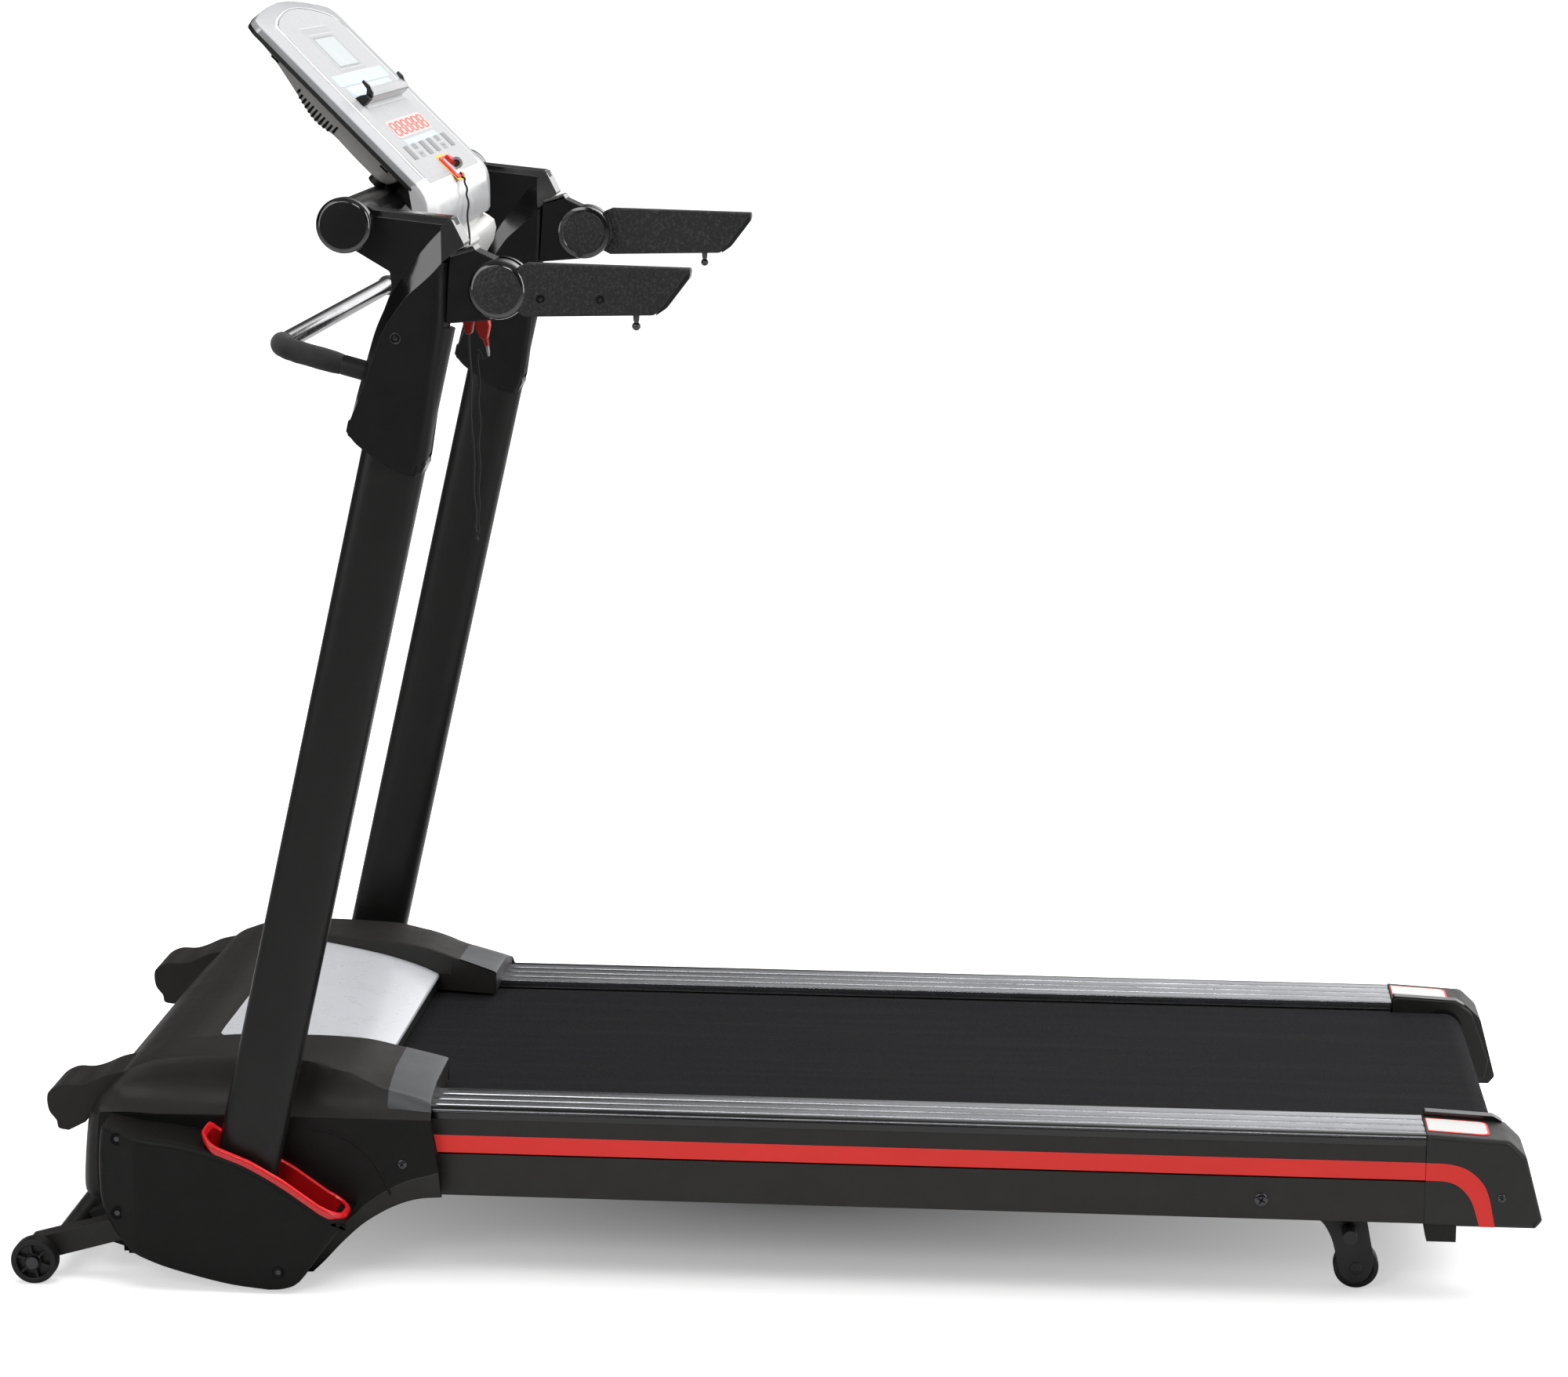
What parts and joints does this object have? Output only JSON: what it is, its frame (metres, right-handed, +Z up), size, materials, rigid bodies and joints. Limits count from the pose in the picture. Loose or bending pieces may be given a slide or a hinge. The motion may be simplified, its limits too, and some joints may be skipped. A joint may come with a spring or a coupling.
{
  "type": "folding motorised treadmill",
  "caption": "Flat-deck motorised folding treadmill with folding uprights, hinged side grips, a tilted console, transport wheels and manual incline feet.",
  "frame": {"origin": "on the floor, at the middle of the overall length and width (bottom centre of the bounding box)", "axes": "+X from the motor end to the exit end of the belt, +Y to the right of a runner who faces the console, +Z up"},
  "size_m": [1.695, 0.812, 1.3952],
  "materials": {
    "frame_paint": "satin black powder coat",
    "rail_aluminium": "brushed and anodised, ribbed",
    "channel_paint": "satin dark grey",
    "red_trim": "gloss",
    "cover_plastic": "fine textured matte black",
    "cap_plastic": "fine textured dark grey",
    "silver_plastic": "silver painted, satin",
    "shroud_plastic": "satin black with gloss flanks",
    "grip_rubber": "grained",
    "foam": "closed-cell foam sleeve",
    "belt_rubber": "fine diamond grain",
    "deck_board": "phenolic-faced fibreboard",
    "rubber": "matte",
    "wheel_plastic": "matte",
    "steel": "zinc plated",
    "dark_screws": "black oxide",
    "chrome": "polished",
    "window_plastic": "clear gloss",
    "key_plastic": "satin grey",
    "red_key": "gloss",
    "cord": "braided",
    "motor_paint": "black",
    "board_green": "circuit board with heat sink"
  },
  "bodies": {
    "deck_base": {"control_board": "board_green", "deck_screws": "dark_screws", "drive_belt": "belt_rubber", "end_cap_left": "cap_plastic", "end_cap_right": "cap_plastic", "foot_rail_left": "rail_aluminium", "foot_rail_right": "rail_aluminium", "front_stand": "frame_paint", "hood_panel": "silver_plastic", "main_frame": "frame_paint", "motor_hood": "cover_plastic", "motor_housing": "motor_paint", "nose_bumpers": "cover_plastic", "pivot_bolts": "steel", "pivot_cover_left": "cover_plastic", "pivot_cover_right": "cover_plastic", "power_inlet": "cover_plastic", "roller_axles": "steel", "rubber_mounts": "rubber", "running_deck": "deck_board", "side_channels": "channel_paint", "side_fairings": "cover_plastic", "slot_bezels": "red_trim", "trim_decals": "red_trim", "walking_belt": "belt_rubber"},
    "folding_uprights": {"upright_left": "frame_paint", "upright_right": "frame_paint", "crossbar": "frame_paint", "crossbar_caps": "shroud_plastic", "handle_shroud_left": "shroud_plastic", "handle_shroud_right": "shroud_plastic", "lift_handle": "chrome", "lift_handle_foam": "foam", "console_back": "cover_plastic", "console_face": "silver_plastic", "console_windows": "window_plastic", "device_ledge": "shroud_plastic", "console_apron": "silver_plastic"},
    "front_roller": {"front_roller": "steel"},
    "rear_roller": {"rear_roller": "steel"},
    "motor_shaft": {"motor_shaft": "steel"},
    "power_switch": {"power_switch": "red_key"},
    "front_wheel_left": {"front_wheel_left": "wheel_plastic"},
    "incline_foot_left": {"incline_foot_left": "frame_paint"},
    "incline_wheel_left": {"incline_wheel_left": "wheel_plastic"},
    "incline_pin_left": {"incline_pin_left": "steel"},
    "handle_left": {"handle_left": "grip_rubber"},
    "front_wheel_right": {"front_wheel_right": "wheel_plastic"},
    "incline_foot_right": {"incline_foot_right": "frame_paint"},
    "incline_wheel_right": {"incline_wheel_right": "wheel_plastic"},
    "incline_pin_right": {"incline_pin_right": "steel"},
    "handle_right": {"handle_right": "grip_rubber"},
    "console_key_1": {"console_key_1": "key_plastic"},
    "console_key_2": {"console_key_2": "key_plastic"},
    "console_key_3": {"console_key_3": "key_plastic"},
    "console_key_4": {"console_key_4": "key_plastic"},
    "console_key_5": {"console_key_5": "key_plastic"},
    "console_key_6": {"console_key_6": "key_plastic"},
    "safety_key": {"safety_key": "red_key", "safety_cord": "cord"}
  },
  "joints": [
    {"name": "upright_fold", "type": "hinge", "parent": "deck_base", "child": "folding_uprights", "pos_m": [-0.5955, 0, 0.082], "axis": [0, 1, 0], "range_deg": [0, 52]},
    {"name": "handle_left_fold", "type": "hinge", "parent": "folding_uprights", "child": "handle_left", "pos_m": [-0.2905, -0.366, 1.113], "axis": [0, 1, 0], "range_deg": [0, 96]},
    {"name": "front_wheel_left_spin", "type": "hinge", "parent": "deck_base", "child": "front_wheel_left", "pos_m": [-0.8215, -0.378, 0.026], "axis": [0, 1, 0], "continuous": true},
    {"name": "incline_foot_left_swing", "type": "hinge", "parent": "deck_base", "child": "incline_foot_left", "pos_m": [0.6335, -0.259, 0.108], "axis": [0, 1, 0], "range_deg": [0, 50]},
    {"name": "incline_wheel_left_spin", "type": "hinge", "parent": "incline_foot_left", "child": "incline_wheel_left", "pos_m": [0.6475, -0.259, 0.025], "axis": [0, 1, 0], "continuous": true},
    {"name": "incline_pin_left_pull", "type": "slide", "parent": "incline_foot_left", "child": "incline_pin_left", "axis": [0, -1, 0], "range_m": [0, 0.008]},
    {"name": "handle_right_fold", "type": "hinge", "parent": "folding_uprights", "child": "handle_right", "pos_m": [-0.2905, 0.366, 1.113], "axis": [0, 1, 0], "range_deg": [0, 96]},
    {"name": "front_wheel_right_spin", "type": "hinge", "parent": "deck_base", "child": "front_wheel_right", "pos_m": [-0.8215, 0.378, 0.026], "axis": [0, 1, 0], "continuous": true},
    {"name": "incline_foot_right_swing", "type": "hinge", "parent": "deck_base", "child": "incline_foot_right", "pos_m": [0.6335, 0.259, 0.108], "axis": [0, 1, 0], "range_deg": [0, 50]},
    {"name": "incline_wheel_right_spin", "type": "hinge", "parent": "incline_foot_right", "child": "incline_wheel_right", "pos_m": [0.6475, 0.259, 0.025], "axis": [0, 1, 0], "continuous": true},
    {"name": "incline_pin_right_pull", "type": "slide", "parent": "incline_foot_right", "child": "incline_pin_right", "axis": [0, 1, 0], "range_m": [0, 0.008]},
    {"name": "front_roller_spin", "type": "hinge", "parent": "deck_base", "child": "front_roller", "pos_m": [-0.5335, 0, 0.15855], "axis": [0, 1, 0], "continuous": true},
    {"name": "rear_roller_spin", "type": "hinge", "parent": "deck_base", "child": "rear_roller", "pos_m": [0.7785, 0, 0.15855], "axis": [0, 1, 0], "continuous": true},
    {"name": "motor_shaft_spin", "type": "hinge", "parent": "deck_base", "child": "motor_shaft", "pos_m": [-0.6675, 0, 0.152], "axis": [0, 1, 0], "continuous": true},
    {"name": "power_switch_rock", "type": "hinge", "parent": "deck_base", "child": "power_switch", "pos_m": [-0.7635, 0.223, 0.121], "axis": [0, 1, 0], "range_deg": [0, 8]},
    {"name": "console_key_1_press", "type": "slide", "parent": "folding_uprights", "child": "console_key_1", "axis": [-0.7071, 0, -0.7071], "range_m": [0, 0.0012], "stiffness_N_per_m": 400},
    {"name": "console_key_2_press", "type": "slide", "parent": "folding_uprights", "child": "console_key_2", "axis": [-0.7071, 0, -0.7071], "range_m": [0, 0.0012], "stiffness_N_per_m": 400},
    {"name": "console_key_3_press", "type": "slide", "parent": "folding_uprights", "child": "console_key_3", "axis": [-0.7071, 0, -0.7071], "range_m": [0, 0.0012], "stiffness_N_per_m": 400},
    {"name": "console_key_4_press", "type": "slide", "parent": "folding_uprights", "child": "console_key_4", "axis": [-0.7071, 0, -0.7071], "range_m": [0, 0.0012], "stiffness_N_per_m": 400},
    {"name": "console_key_5_press", "type": "slide", "parent": "folding_uprights", "child": "console_key_5", "axis": [-0.7071, 0, -0.7071], "range_m": [0, 0.0012], "stiffness_N_per_m": 400},
    {"name": "console_key_6_press", "type": "slide", "parent": "folding_uprights", "child": "console_key_6", "axis": [-0.7071, 0, -0.7071], "range_m": [0, 0.0012], "stiffness_N_per_m": 400},
    {"name": "safety_key_pull", "type": "slide", "parent": "folding_uprights", "child": "safety_key", "axis": [0.7071, 0, 0.7071], "range_m": [0, 0.03]}
  ],
  "couplings": [
    {"joint": "rear_roller_spin", "follows": "front_roller_spin", "ratio": 1},
    {"joint": "motor_shaft_spin", "follows": "front_roller_spin", "ratio": 2.3491}
  ]
}
